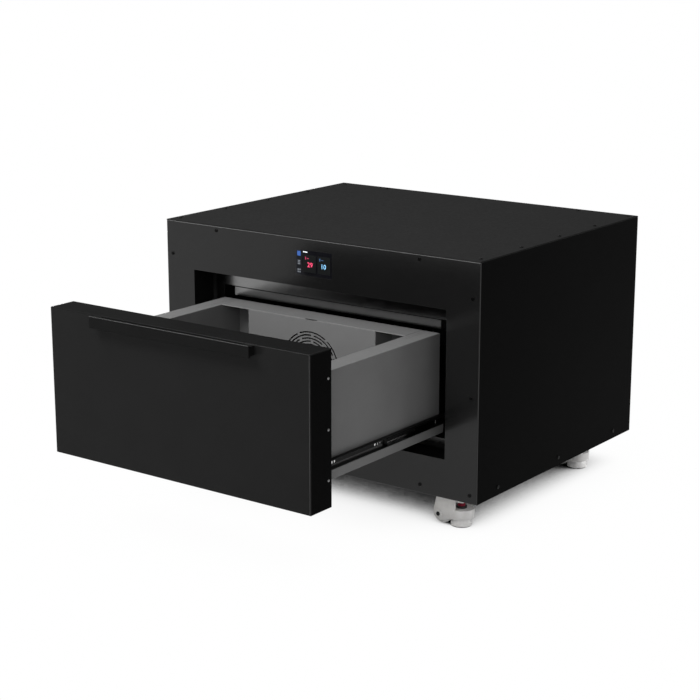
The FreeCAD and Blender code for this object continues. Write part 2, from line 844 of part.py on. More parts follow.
def drawer_insulation():
    """Foam in the drawer front, both side walls and under the floor."""
    core = wide(half_drawer - 2 * thin_sheet, (drawer_front_y + thin_sheet, drawer_back_y - thin_sheet),
                (drawer_low + 2 * thin_sheet, drawer_high - 2 * thin_sheet))
    right = block((box_inner + thin_sheet, half_box - thin_sheet), (drawer_back_y, box_rear),
                  (box_low, box_high - thin_sheet))
    under = wide(box_inner - thin_sheet, (drawer_back_y + thin_sheet, plate_front - thin_sheet),
                 (box_low, box_floor - thin_sheet))
    return [core, right, mirrored(right), under]


# Casters are drawn round the swivel axis at X = Y = 0, wheel towards -X
caster_roof = pan_bottom - caster_plate_thickness
caster_top = caster_roof - caster_gap
top_low = caster_top - caster_top_depth
ear_top = bottom - caster_skirt_gap
outer_radius = caster_inner_radius + caster_wall
bridge_low = caster_nose_top - caster_bridge
wheel_x = -wheel_trail


def caster_plate():
    """Fixing plate with the swivel pin."""
    half = caster_plate_size / 2
    plate = block((-half, half), (-half, half), (caster_roof, pan_bottom))
    return fuse(plate, rod((0, 0, top_low), Z_AXIS, caster_pivot_radius, caster_roof - top_low))


def caster_ear(side):
    """Cheek that carries one end of the axle."""
    boss = axle_boss_radius
    reach = wheel_x - boss
    slope = axle_boss_chamfer
    outline = [(reach, wheel_radius - boss + slope), (reach, wheel_radius + boss),
               (reach + slope, ear_top), (0, ear_top), (0, caster_nose_bottom),
               (wheel_x + boss, wheel_radius - boss), (reach + slope, wheel_radius - boss)]
    y = side * caster_inner_radius if side > 0 else -outer_radius
    corners = [FreeCAD.Vector(x, y, z) for x, z in outline]
    face = Part.Face(Part.makePolygon(corners + [corners[0]]))
    return face.extrude(FreeCAD.Vector(0, caster_wall, 0))


def caster_housing():
    """Swivel body: round nose, two cheeks, the foot's threaded bridge and the axle."""
    front_half = block((0, outer_radius), (-outer_radius, outer_radius), (caster_nose_bottom, ear_top))
    nose = rod((0, 0, caster_nose_bottom), Z_AXIS, outer_radius, caster_nose_top - caster_nose_bottom)
    bore = rod((0, 0, caster_nose_bottom), Z_AXIS, caster_inner_radius, bridge_low - caster_nose_bottom)
    nose = nose.common(front_half).cut(bore)
    bridge = block((-foot_neck_radius, 0), (-outer_radius, outer_radius), (bridge_low, caster_nose_top))
    crown = rod((0, 0, top_low), Z_AXIS, outer_radius, caster_top - top_low)
    axle = rod((wheel_x, -outer_radius, wheel_radius), Y_AXIS, axle_radius, 2 * outer_radius)
    body = fuse(crown, nose, bridge, caster_ear(-1), caster_ear(1), axle)
    stem = rod((0, 0, bridge_low), Z_AXIS, stem_radius + running_play, caster_bridge)
    pivot = rod((0, 0, top_low), Z_AXIS, caster_pivot_radius + running_play, caster_top - top_low)
    return cut(body, [stem, pivot])


def caster_wheel():
    """Nylon wheel with a rounded tread and a dished web."""
    half = wheel_width / 2
    tyre = rod((wheel_x, -half, wheel_radius), Y_AXIS, wheel_radius, wheel_width)
    tyre = tyre.makeFillet(wheel_round, [edge for edge in tyre.Edges if edge.Closed])
    cuts = [rod((wheel_x, -half, wheel_radius), Y_AXIS, axle_radius + running_play, wheel_width)]
    for low in (-half, half - wheel_dish_depth):
        ring = rod((wheel_x, low, wheel_radius), Y_AXIS, wheel_dish_radius, wheel_dish_depth)
        hub = rod((wheel_x, low, wheel_radius), Y_AXIS, wheel_hub_radius, wheel_dish_depth)
        cuts.append(ring.cut(hub))
    return cut(tyre, cuts)


thumb_low = caster_nose_top + caster_gap


def caster_foot():
    """Levelling pad with its threaded stem."""
    disc = rod((0, 0, foot_lift), Z_AXIS, foot_radius, foot_thickness)
    neck_low = foot_lift + foot_thickness
    neck = Part.makeCone(foot_neck_radius, foot_collar_radius, foot_neck_height,
                         FreeCAD.Vector(0, 0, neck_low), Z_AXIS)
    stem_top = thumb_low + thumb_height + caster_gap
    stem = rod((0, 0, neck_low), Z_AXIS, stem_radius, stem_top - neck_low)
    return fuse(disc, neck, stem)


def caster_thumb():
    """Ribbed nut that drives the foot."""
    nut = rod((0, 0, thumb_low), Z_AXIS, thumb_radius, thumb_height)
    cuts = [rod((0, 0, thumb_low), Z_AXIS, stem_radius + running_play, thumb_height)]
    for i in range(thumb_ribs):
        turn = 2 * math.pi * i / thumb_ribs
        cuts.append(rod((thumb_radius * math.cos(turn), thumb_radius * math.sin(turn), thumb_low),
                        Z_AXIS, thumb_groove, thumb_height))
    return cut(nut, cuts)


def placed(shape, x, y):
    """Right-hand casters trail inboard; left-hand ones are their mirror image."""
    copy = shape.copy() if x > 0 else mirrored(shape)
    copy.translate(FreeCAD.Vector(x, y, 0))
    return copy


caster_x = half_width - caster_edge
caster_places = {
    "front_right": (caster_x, front + caster_front_edge),
    "front_left": (-caster_x, front + caster_front_edge),
    "rear_right": (caster_x, rear - caster_rear_edge),
    "rear_left": (-caster_x, rear - caster_rear_edge),
}


def save_pair(name, right):
    save("right_" + name, right)
    save("left_" + name, mirrored(right))


def main():
    os.makedirs("parts", exist_ok=True)
    save("front_panel", front_panel())
    save("top_panel", top_panel())
    save_pair("side_panel", cut(right_side_panel(), all_holes))
    save("back_panel", back_panel())
    save("base_pan", base_pan())
    save("cabinet_screws", *all_screws)
    save("opening_reveal", opening_reveal())
    save("chamber_face_frame", chamber_face_frame())
    save("chamber_gasket", chamber_gasket())
    save("chamber_floor", chamber_floor())
    save("chamber_ceiling", chamber_ceiling())
    save_pair("chamber_wall", chamber_right_wall())
    save("chamber_rear_wall", chamber_rear_wall())
    save("chamber_insulation", *chamber_insulation())
    save("fan_frame", fan_frame())
    save("fan_rotor", fan_rotor())
    save("heater_duct", heater_duct())
    save("heater_element", heater_element())
    save("display_glass", display_glass())
    save("display_module", display_module())
    save("control_board", control_board())
    save("power_supply", power_supply())
    save("humidity_sensor", humidity_sensor())
    save("power_inlet", power_inlet())
    save("power_rocker", power_rocker())
    save_pair("slide_cabinet_rail", right_slide_cabinet())
    save_pair("slide_middle_rail", right_slide_middle())
    save_pair("slide_drawer_rail", right_slide_drawer())
    save("drawer_front_skin", drawer_front_skin())
    save("drawer_back_plate", drawer_back_plate())
    save("drawer_rivets", *drawer_rivets())
    save("drawer_handle", drawer_handle())
    save_pair("drawer_wall", drawer_right_wall())
    save("drawer_rear_wall", drawer_rear_wall())
    save("drawer_rear_cover", drawer_rear_cover())
    save("drawer_floor", drawer_floor())
    save("drawer_insulation", *drawer_insulation())
    save("caster_plates", *[placed(caster_plate(), x, y) for x, y in caster_places.values()])
    for corner, (x, y) in caster_places.items():
        save(corner + "_caster_housing", placed(caster_housing(), x, y))
        save(corner + "_caster_wheel", placed(caster_wheel(), x, y))
        save(corner + "_caster_thumb_nut", placed(caster_thumb(), x, y))
        save(corner + "_caster_foot", placed(caster_foot(), x, y))


main()
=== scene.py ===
import json
import math

import bmesh
import bpy
from mathutils import Euler, Matrix, Vector

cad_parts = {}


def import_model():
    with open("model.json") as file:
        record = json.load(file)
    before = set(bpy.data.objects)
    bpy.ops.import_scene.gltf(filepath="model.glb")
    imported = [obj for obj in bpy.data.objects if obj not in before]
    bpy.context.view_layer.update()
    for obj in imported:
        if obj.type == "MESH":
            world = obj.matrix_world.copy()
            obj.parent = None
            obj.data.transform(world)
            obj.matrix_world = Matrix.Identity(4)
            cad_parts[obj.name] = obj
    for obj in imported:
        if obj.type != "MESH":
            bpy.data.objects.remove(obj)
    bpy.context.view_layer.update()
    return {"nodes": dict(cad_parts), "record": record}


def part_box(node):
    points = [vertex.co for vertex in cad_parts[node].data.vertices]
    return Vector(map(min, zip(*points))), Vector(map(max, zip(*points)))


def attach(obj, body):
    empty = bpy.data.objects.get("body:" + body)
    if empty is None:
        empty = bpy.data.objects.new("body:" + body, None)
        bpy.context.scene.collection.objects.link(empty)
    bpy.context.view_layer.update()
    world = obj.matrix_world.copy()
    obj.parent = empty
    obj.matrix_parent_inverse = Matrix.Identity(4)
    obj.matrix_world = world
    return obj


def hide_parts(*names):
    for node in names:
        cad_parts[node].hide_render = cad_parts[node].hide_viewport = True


# Filament dryer with its drawer pulled out.
# Metres, +X right, +Y back, +Z up, in the frame of the solids.

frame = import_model()
nodes = frame["nodes"]
slot_of = {part["node"]: part["material_slot"] for part in frame["record"]["subparts"]}

MM = 0.001
# Thickness of lines and pictures that lie on a face
HAIR = 0.00006

# Grain of a texture along X, Y and Z
EVEN = (1.0, 1.0, 1.0)
ALONG_Y = (1.0, 0.05, 1.0)

# Part of a noise value's range that is used
NOISE_LOW = 0.3
NOISE_HIGH = 0.7

# Turn of the normal, as a loss of its cosine, over which the painted edge highlight comes in
EDGE_START = 0.02
EDGE_END = 0.25
EDGE_RADIUS = 0.9 * MM
EDGE_SAMPLES = 6

# Colour sockets of a mix node
MIX_FIRST = 6
MIX_SECOND = 7
MIX_RESULT = 2


# Materials
class Paint:
    """A principled material with the few node chains that every finish here is made of."""

    def __init__(self, name, colour, roughness, specular=0.5, metallic=0.0):
        self.material = bpy.data.materials.new(name)
        self.material.use_nodes = True
        self.tree = self.material.node_tree
        self.shader = self.tree.nodes["Principled BSDF"]
        self.set("Base Color", (*colour, 1.0))
        self.set("Roughness", roughness)
        self.set("Specular IOR Level", specular)
        self.set("Metallic", metallic)
        self.colour = None

    def set(self, socket, value):
        self.shader.inputs[socket].default_value = value

    def node(self, kind, **values):
        made = self.tree.nodes.new(kind)
        for socket, value in values.items():
            made.inputs[socket.replace("_", " ")].default_value = value
        return made

    def link(self, source, target):
        self.tree.links.new(source, target)

    def noise(self, scale, detail, stretch):
        """Noise over the piece's own coordinates, in features per metre."""
        place = self.node("ShaderNodeTexCoord")
        mapping = self.node("ShaderNodeMapping", Scale=stretch)
        texture = self.node("ShaderNodeTexNoise", Scale=scale, Detail=detail)
        self.link(place.outputs["Object"], mapping.inputs["Vector"])
        self.link(mapping.outputs["Vector"], texture.inputs["Vector"])
        return texture.outputs["Fac"]

    def span(self, source, low, high, start=NOISE_LOW, end=NOISE_HIGH):
        """Maps a noise value to a range of numbers."""
        ramp = self.node("ShaderNodeMapRange", From_Min=start, From_Max=end,
                         To_Min=low, To_Max=high)
        self.link(source, ramp.inputs["Value"])
        return ramp.outputs["Result"]

    def mix(self, factor, first, second):
        """Mixes two colours, of which the first may be the chain made so far."""
        mixer = self.tree.nodes.new("ShaderNodeMix")
        mixer.data_type = "RGBA"
        self.link(factor, mixer.inputs["Factor"])
        for socket, value in ((MIX_FIRST, first), (MIX_SECOND, second)):
            if isinstance(value, bpy.types.NodeSocket):
                self.link(value, mixer.inputs[socket])
            else:
                mixer.inputs[socket].default_value = (*value, 1.0)
        self.colour = mixer.outputs[MIX_RESULT]
        self.link(self.colour, self.shader.inputs["Base Color"])

    def cloudy(self, dark, light, scale, detail=4.0, stretch=EVEN):
        self.mix(self.span(self.noise(scale, detail, stretch), 0.0, 1.0), dark, light)

    def uneven_gloss(self, low, high, scale, stretch=EVEN):
        gloss = self.noise(scale, detail=4.0, stretch=stretch)
        self.link(self.span(gloss, low, high), self.shader.inputs["Roughness"])

    def bump(self, scale, depth, strength, stretch=EVEN):
        bump = self.node("ShaderNodeBump", Strength=strength, Distance=depth)
        self.link(self.noise(scale, detail=2.0, stretch=stretch), bump.inputs["Height"])
        self.link(bump.outputs["Normal"], self.shader.inputs["Normal"])

    def painted_edge_highlight(self, colour):
        """Painted highlight: lighter colour along folds and cut edges, where light catches them."""
        bevel = self.node("ShaderNodeBevel", Radius=EDGE_RADIUS)
        bevel.samples = EDGE_SAMPLES
        geometry = self.node("ShaderNodeNewGeometry")
        turn = self.tree.nodes.new("ShaderNodeVectorMath")
        turn.operation = "DOT_PRODUCT"
        self.link(bevel.outputs["Normal"], turn.inputs[0])
        self.link(geometry.outputs["Normal"], turn.inputs[1])
        mask = self.span(turn.outputs["Value"], 1.0, 0.0, 1.0 - EDGE_END, 1.0 - EDGE_START)
        self.mix(mask, self.colour, colour)


def grey(value, warm=0.0):
    return (value * (1.0 + warm), value, value * (1.0 - warm))


def powder_coat(name, tone, roughness, specular, edge):
    """Fine-textured powder coat with a painted highlight along its folds and edges."""
    paint = Paint(name, grey(tone), roughness, specular)
    paint.cloudy(grey(tone * 0.95), grey(tone * 1.05), scale=14.0)
    # The edge tone is a painted highlight along folds and edges
    paint.painted_edge_highlight(grey(edge))
    paint.uneven_gloss(roughness - 0.02, roughness + 0.03, scale=160.0)
    paint.bump(scale=1400.0, depth=0.03 * MM, strength=0.2)
    return paint.material


def bare_metal(name, tone, roughness, stretch=EVEN):
    """Drawn or rolled metal with marks along its length."""
    metal = Paint(name, grey(tone), roughness, metallic=1.0)
    metal.cloudy(grey(tone * 0.8), grey(tone * 1.12), scale=90.0, detail=5.0, stretch=stretch)
    metal.uneven_gloss(roughness - 0.08, roughness + 0.12, scale=140.0, stretch=stretch)
    metal.bump(scale=500.0, depth=0.02 * MM, strength=0.2, stretch=stretch)
    return metal.material


def moulded(name, colour, roughness, specular=0.4):
    """Moulded plastic with a fine eroded grain."""
    plastic = Paint(name, colour, roughness, specular)
    dark = tuple(c * 0.88 for c in colour)
    light = tuple(min(1.0, c * 1.08) for c in colour)
    plastic.cloudy(dark, light, scale=40.0)
    plastic.uneven_gloss(roughness - 0.05, roughness + 0.07, scale=200.0)
    plastic.bump(scale=2200.0, depth=0.02 * MM, strength=0.3)
    return plastic.material


def satin_liner():
    liner = Paint("dark_liner", grey(0.2), roughness=0.2, metallic=1.0)
    liner.cloudy(grey(0.19), grey(0.21), scale=20.0)
    liner.uneven_gloss(0.18, 0.23, scale=60.0)
    return liner.material


def foam_board():
    board = Paint("foam_board", (0.56, 0.52, 0.42), roughness=0.95, specular=0.1)
    board.cloudy((0.44, 0.40, 0.31), (0.66, 0.62, 0.52), scale=180.0, detail=6.0,
                 stretch=(1.0, 1.0, 4.0))
    board.bump(scale=420.0, depth=0.5 * MM, strength=0.7, stretch=(1.0, 1.0, 3.0))
    return board.material


def solder_mask():
    mask = Paint("solder_mask", (0.012, 0.10, 0.04), roughness=0.3)
    mask.cloudy((0.008, 0.075, 0.028), (0.02, 0.14, 0.06), scale=350.0, detail=2.0,
                stretch=(1.0, 1.0, 0.15))
    mask.bump(scale=700.0, depth=0.04 * MM, strength=0.4, stretch=(1.0, 1.0, 0.2))
    return mask.material


def screen_glass():
    glass = Paint("screen_glass", (0.004, 0.004, 0.005), roughness=0.08, specular=0.35)
    glass.cloudy((0.003, 0.003, 0.004), (0.006, 0.006, 0.008), scale=30.0)
    glass.uneven_gloss(0.06, 0.12, scale=80.0)
    return glass.material


def lit_pixels(name, colour, strength):
    """Area of the display that gives its own light."""
    pixels = Paint(name, colour, roughness=0.4, specular=0.1)
    pixels.cloudy(tuple(c * 0.9 for c in colour), colour, scale=2500.0)
    pixels.set("Emission Color", (*colour, 1.0))
    pixels.set("Emission Strength", strength)
    return pixels.material


finish = {
    "black_paint": powder_coat("black_paint", tone=0.0055, roughness=0.42, specular=0.012,
                               edge=0.02),
    "black_handle": powder_coat("black_handle", tone=0.007, roughness=0.42, specular=0.012,
                                edge=0.03),
    "dark_liner": satin_liner(),
    "grey_paint": powder_coat("grey_paint", tone=0.13, roughness=0.42, specular=0.2, edge=0.24),
    "slide_steel": bare_metal("slide_steel", tone=0.014, roughness=0.42, stretch=ALONG_Y),
    "screw_steel": bare_metal("screw_steel", tone=0.012, roughness=0.4),
    "rivet_steel": bare_metal("rivet_steel", tone=0.22, roughness=0.35),
    "gasket_rubber": moulded("gasket_rubber", grey(0.008), roughness=0.85, specular=0.1),
    "insulation": foam_board(),
    "screen_glass": screen_glass(),
    "black_plastic": moulded("black_plastic", grey(0.014), roughness=0.55),
    "circuit_board": solder_mask(),
    "zinc_sheet": bare_metal("zinc_sheet", tone=0.55, roughness=0.36, stretch=(1.0, 1.0, 0.3)),
    "heater_aluminium": bare_metal("heater_aluminium", tone=0.68, roughness=0.34,
                                   stretch=(1.0, 1.0, 0.1)),
    "caster_casting": moulded("caster_casting", grey(0.72, 0.012), roughness=0.5, specular=0.35),
    "white_nylon": moulded("white_nylon", grey(0.8, 0.01), roughness=0.38),
    "foot_plastic": moulded("foot_plastic", grey(0.86, 0.01), roughness=0.45),
    "red_plastic": moulded("red_plastic", (0.22, 0.004, 0.022), roughness=0.4, specular=0.2),
}

# The sheets differ in gloss as the photographed ones do. The coat of the top, left side and back is
# a lighter copy of the black, as painted light; the right side's coat is a darker copy, as painted
# shade.
front_paint = powder_coat("front_paint", tone=0.0065, roughness=0.16, specular=0.28, edge=0.03)
drawer_paint = powder_coat("drawer_paint", tone=0.0075, roughness=0.2, specular=0.06, edge=0.03)
lit_black_paint = powder_coat("lit_black_paint", tone=0.011, roughness=0.42, specular=0.02, edge=0.03)
shaded_black_paint = powder_coat("shaded_black_paint", tone=0.0028, roughness=0.42, specular=0.006, edge=0.012)
chamber_black = powder_coat("chamber_black", tone=0.004, roughness=0.6, specular=0.02, edge=0.006)
# Greys for lines painted as highlights along edges
edge_highlight_grey = powder_coat("edge_highlight_grey", tone=0.1, roughness=0.4, specular=0.2, edge=0.1)
dim_edge_highlight = powder_coat("dim_edge_highlight", tone=0.04, roughness=0.4, specular=0.1, edge=0.04)
seam_grey = powder_coat("seam_grey", tone=0.07, roughness=0.6, specular=0.1, edge=0.07)
bright_steel = bare_metal("bright_steel", tone=0.72, roughness=0.22, stretch=(1.0, 0.2, 1.0))
dark_steel = bare_metal("dark_steel", tone=0.10, roughness=0.38, stretch=ALONG_Y)
# Black for painted shade in hollows, slots and gaps
painted_shade_black = moulded("painted_shade_black", grey(0.004), roughness=0.6, specular=0.2)

screen_panel = lit_pixels("screen_panel", (0.0045, 0.005, 0.0052), strength=0.4)
screen_column = lit_pixels("screen_column", (0.006, 0.0065, 0.008), strength=0.5)
screen_white = lit_pixels("screen_white", (0.62, 0.65, 0.68), strength=0.7)
screen_grey = lit_pixels("screen_grey", (0.12, 0.13, 0.145), strength=0.7)
screen_blue = lit_pixels("screen_blue", (0.03, 0.075, 0.24), strength=0.7)
screen_red = lit_pixels("screen_red", (0.80, 0.07, 0.16), strength=0.9)
screen_dim_red = lit_pixels("screen_dim_red", (0.30, 0.03, 0.07), strength=0.7)
screen_dim_blue = lit_pixels("screen_dim_blue", (0.03, 0.06, 0.12), strength=0.7)
screen_pale_blue = lit_pixels("screen_pale_blue", (0.22, 0.50, 0.78), strength=0.9)

# The top, left side and back take the lighter copy as painted light, the right side the darker copy
# as painted shade
own_paint = {
    "front_panel": front_paint,
    "drawer_front_skin": drawer_paint,
    "top_panel": lit_black_paint,
    "right_side_panel": shaded_black_paint,
    "left_side_panel": lit_black_paint,
    "back_panel": lit_black_paint,
    "chamber_rear_wall": chamber_black,
    "chamber_floor": chamber_black,
    "right_chamber_wall": chamber_black,
    "left_chamber_wall": chamber_black,
}
for node_name, node in nodes.items():
    node.data.materials.clear()
    node.data.materials.append(own_paint.get(node_name, finish[slot_of[node_name]]))


# Mesh building
SMOOTH_DEG = 35.0
TURNED_SIDES = 24


def piece(name, mesh, material, body, smooth_deg=None):
    """Turns a finished bmesh into a piece that rides on a body."""
    data = bpy.data.meshes.new(name)
    bmesh.ops.recalc_face_normals(mesh, faces=mesh.faces)
    if smooth_deg:
        for face in mesh.faces:
            face.smooth = True
        for edge in mesh.edges:
            edge.smooth = edge.calc_face_angle(0.0) < math.radians(smooth_deg)
    mesh.to_mesh(data)
    mesh.free()
    data.materials.append(material)
    made = bpy.data.objects.new(name, data)
    bpy.context.scene.collection.objects.link(made)
    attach(made, body)
    return made


def add_block(mesh, low, high):
    """Box between two corners."""
    size = Vector(high) - Vector(low)
    middle = (Vector(high) + Vector(low)) / 2
    made = bmesh.ops.create_cube(mesh, size=1.0)["verts"]
    bmesh.ops.scale(mesh, vec=size, verts=made)
    bmesh.ops.translate(mesh, vec=middle, verts=made)


def block_piece(name, blocks, material, body):
    """Piece made of plain boxes, each given by its two corners."""
    mesh = bmesh.new()
    for low, high in blocks:
        add_block(mesh, low, high)
    piece(name, mesh, material, body)


def add_rings(mesh, rings):
    """Skins a list of equally long closed loops of points and closes both ends."""
    loops = [[mesh.verts.new(point) for point in ring] for ring in rings]
    count = len(loops[0])
    for low, high in zip(loops, loops[1:]):
        for i in range(count):
            mesh.faces.new((low[i], low[(i + 1) % count], high[(i + 1) % count], high[i]))
    mesh.faces.new(loops[0][::-1])
    mesh.faces.new(loops[-1])


def add_turned(mesh, place, axis, profile, sides=TURNED_SIDES, hexagon_from=None):
    """Turned shape: profile holds radius and height along the axis, and may end in hexagons."""
    turn = Vector(axis).to_track_quat("Z", "Y").to_matrix()
    rings = []
    for step, (radius, height) in enumerate(profile):
        ring = []
        for i in range(sides):
            angle = 2 * math.pi * i / sides
            reach = radius
            if hexagon_from is not None and step >= hexagon_from:
                from_flat = (angle % (math.pi / 3)) - math.pi / 6
                reach = radius * math.cos(math.pi / 6) / math.cos(from_flat)
            point = Vector((reach * math.cos(angle), reach * math.sin(angle), height))
            ring.append(Vector(place) + turn @ point)
        rings.append(ring)
    add_rings(mesh, rings)


# Cabinet screws: button heads with a hexagon socket
HEAD_RADIUS = 3.6 * MM
HEAD_HEIGHT = 1.6 * MM
HEAD_DOME = 2.9 * MM
SOCKET_RADIUS = 1.5 * MM
SOCKET_DEPTH = 1.0 * MM
SHANK_RADIUS = 1.9 * MM
SHANK_LENGTH = 5.0 * MM
SCREW_PROFILE = [(SHANK_RADIUS, -SHANK_LENGTH), (SHANK_RADIUS, 0.0), (HEAD_RADIUS, 0.0),
                 (HEAD_RADIUS, HEAD_HEIGHT * 0.45), (HEAD_RADIUS * 0.93, HEAD_HEIGHT * 0.75),
                 (HEAD_DOME, HEAD_HEIGHT), (SOCKET_RADIUS, HEAD_HEIGHT),
                 (SOCKET_RADIUS, HEAD_HEIGHT - SOCKET_DEPTH)]
SCREW_SOCKET_STEP = 6
SIZE_TOLERANCE = 0.1 * MM
WELD = 0.01 * MM


def islands(node):
    """Vertex groups of a node's separate solids, in the order of its vertices."""
    mesh = bmesh.new()
    mesh.from_mesh(node.data)
    bmesh.ops.remove_doubles(mesh, verts=mesh.verts, dist=WELD)
    seen = set()
    found = []
    for first in mesh.verts:
        if first in seen:
            continue
        seen.add(first)
        group = []
        stack = [first]
        while stack:
            vert = stack.pop()
            group.append(vert.co.copy())
            for edge in vert.link_edges:
                other = edge.other_vert(vert)
                if other not in seen:
                    seen.add(other)
                    stack.append(other)
        found.append(group)
    mesh.free()
    return found


def box_of(points):
    low = Vector([min(p[i] for p in points) for i in range(3)])
    high = Vector([max(p[i] for p in points) for i in range(3)])
    return low, high


def cabinet_screws():
    """Each screw is set where the solid has one, with its head outwards or on top."""
    cabinet_low, cabinet_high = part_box("top_panel")
    mesh = bmesh.new()
    for points in islands(nodes["cabinet_screws"]):
        low, high = box_of(points)
        size = high - low
        along = max(range(3), key=lambda i: abs(size[i] - HEAD_RADIUS * 2) > SIZE_TOLERANCE)
        middle = (low + high) / 2
        axis = Vector((0.0, 0.0, 0.0))
        outward = along == 2 or middle[along] > (cabinet_low[along] + cabinet_high[along]) / 2
        axis[along] = 1.0 if outward else -1.0
        seat = middle.copy()
        seat[along] = high[along] - HEAD_HEIGHT if outward else low[along] + HEAD_HEIGHT
        add_turned(mesh, seat, axis, SCREW_PROFILE, hexagon_from=SCREW_SOCKET_STEP)
    made = piece("cabinet_screw_set", mesh, finish["screw_steel"], "cabinet",
                 SMOOTH_DEG)
    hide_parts("cabinet_screws")


cabinet_screws()


# Rivets on the edges of the drawer front
RIVET_STEPS = 5
RIVET_SMOOTH_DEG = 60.0


def drawer_rivets():
    mesh = bmesh.new()
    for points in islands(nodes["drawer_rivets"]):
        low, high = box_of(points)
        middle = (low + high) / 2
        side = 1.0 if middle.x > 0 else -1.0
        radius = (high.z - low.z) / 2
        height = high.x - low.x
        seat = Vector((low.x if side > 0 else high.x, middle.y, middle.z))
        angles = [i * math.pi / 2 / RIVET_STEPS for i in range(RIVET_STEPS)]
        dome = [(radius * math.cos(angle), height * math.sin(angle)) for angle in angles]
        add_turned(mesh, seat, (side, 0.0, 0.0), dome)
    made = piece("drawer_rivet_set", mesh, finish["rivet_steel"], "drawer",
                 RIVET_SMOOTH_DEG)
    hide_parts("drawer_rivets")


drawer_rivets()


# Display: icon column, status line and two value panels, drawn on the face of the glass
glass_low, glass_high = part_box("display_glass")
GLASS_WIDTH = glass_high.x - glass_low.x
GLASS_HEIGHT = glass_high.z - glass_low.z
CORNER_STEPS = 5
PANEL_LAYER = 1
ICON_LAYER = 2
NUMBER_HEIGHT = 13.0 * MM
NUMBER_STEPS = 3

# Corner radii
ICON_ROUND = 1.2 * MM
BULB_ROUND = 0.9 * MM
TILE_ROUND = 0.4 * MM
BAR_ROUND = 0.3 * MM


def on_glass(u, v, layer):
    """Point on the glass from shares of its width and height, left to right and top to bottom."""
    return Vector((glass_low.x + u * GLASS_WIDTH, glass_low.y - layer * HAIR,
                   glass_high.z - v * GLASS_HEIGHT))


def rounded_patch(mesh, left, upper, right, lower, radius, layer):
    """Thin patch with round corners, in shares of the glass."""
    points = []
    reach_u = radius / GLASS_WIDTH
    reach_v = radius / GLASS_HEIGHT
    corners = [(right - reach_u, upper + reach_v), (left + reach_u, upper + reach_v),
               (left + reach_u, lower - reach_v), (right - reach_u, lower - reach_v)]
    for quarter, (u, v) in enumerate(corners):
        for i in range(CORNER_STEPS):
            angle = (quarter + i / (CORNER_STEPS - 1)) * math.pi / 2
            points.append((u + reach_u * math.cos(angle), v - reach_v * math.sin(angle)))
    add_rings(mesh, [[on_glass(u, v, layer - 1) for u, v in points],
                     [on_glass(u, v, layer) for u, v in points]])


def screen_piece(name, patches, material, layer):
    mesh = bmesh.new()
    for patch in patches:
        rounded_patch(mesh, *patch, layer)
    piece(name, mesh, material, "cabinet")


def screen_number(name, digits, u, v, material, layer):
    """Plain number on the display, as a thin raised mesh."""
    text = bpy.data.curves.new(name + "_text", "FONT")
    text.body = digits
    text.size = NUMBER_HEIGHT
    text.align_x = "CENTER"
    text.align_y = "CENTER"
    text.extrude = HAIR / 2
    text.resolution_u = NUMBER_STEPS
    holder = bpy.data.objects.new(name + "_text", text)
    bpy.context.scene.collection.objects.link(holder)
    bpy.context.view_layer.update()
    evaluated = holder.evaluated_get(bpy.context.evaluated_depsgraph_get())
    data = bpy.data.meshes.new_from_object(evaluated)
    bpy.data.objects.remove(holder)
    data.transform(Matrix.Rotation(math.pi / 2, 4, "X"))
    data.transform(Matrix.Translation(on_glass(u, v, layer)))
    data.materials.clear()
    data.materials.append(material)
    data.name = name
    made = bpy.data.objects.new(name, data)
    bpy.context.scene.collection.objects.link(made)
    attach(made, "cabinet")


def display_screen():
    """A patch is its left, upper, right and lower edge in shares of the glass, and a radius."""
    screen_piece("screen_icon_column", [(0.02, 0.03, 0.165, 0.97, ICON_ROUND)], screen_column,
                 PANEL_LAYER)
    screen_piece("screen_value_panels",
                 [(0.21, 0.17, 0.56, 0.86, ICON_ROUND), (0.61, 0.17, 0.96, 0.86, ICON_ROUND)],
                 screen_panel, PANEL_LAYER)
    screen_piece("screen_status_line", [(0.21, 0.05, 0.33, 0.092, TILE_ROUND)], screen_white,
                 PANEL_LAYER)
    screen_piece("screen_selected_icon", [(0.045, 0.06, 0.14, 0.25, ICON_ROUND)], screen_blue,
                 ICON_LAYER)
    bars = [(0.06, upper, 0.13, lower, BAR_ROUND)
            for upper, lower in ((0.42, 0.455), (0.485, 0.52), (0.55, 0.585))]
    tiles = [(left, upper, right, lower, TILE_ROUND)
             for upper, lower in ((0.76, 0.82), (0.85, 0.91))
             for left, right in ((0.055, 0.085), (0.105, 0.135))]
    screen_piece("screen_menu_icons", bars + tiles, screen_grey, ICON_LAYER)
    screen_piece("screen_heat_icon",
                 [(0.265, 0.25, 0.29, 0.37, BULB_ROUND), (0.31, 0.30, 0.37, 0.33, TILE_ROUND)],
                 screen_dim_red, ICON_LAYER)
    screen_piece("screen_damp_icon",
                 [(0.655, 0.25, 0.69, 0.37, ICON_ROUND), (0.71, 0.30, 0.77, 0.33, TILE_ROUND)],
                 screen_dim_blue, ICON_LAYER)
    screen_number("screen_heat_value", "29", 0.40, 0.57, screen_red, ICON_LAYER)
    screen_number("screen_damp_value", "10", 0.77, 0.57, screen_pale_blue, ICON_LAYER)


display_screen()


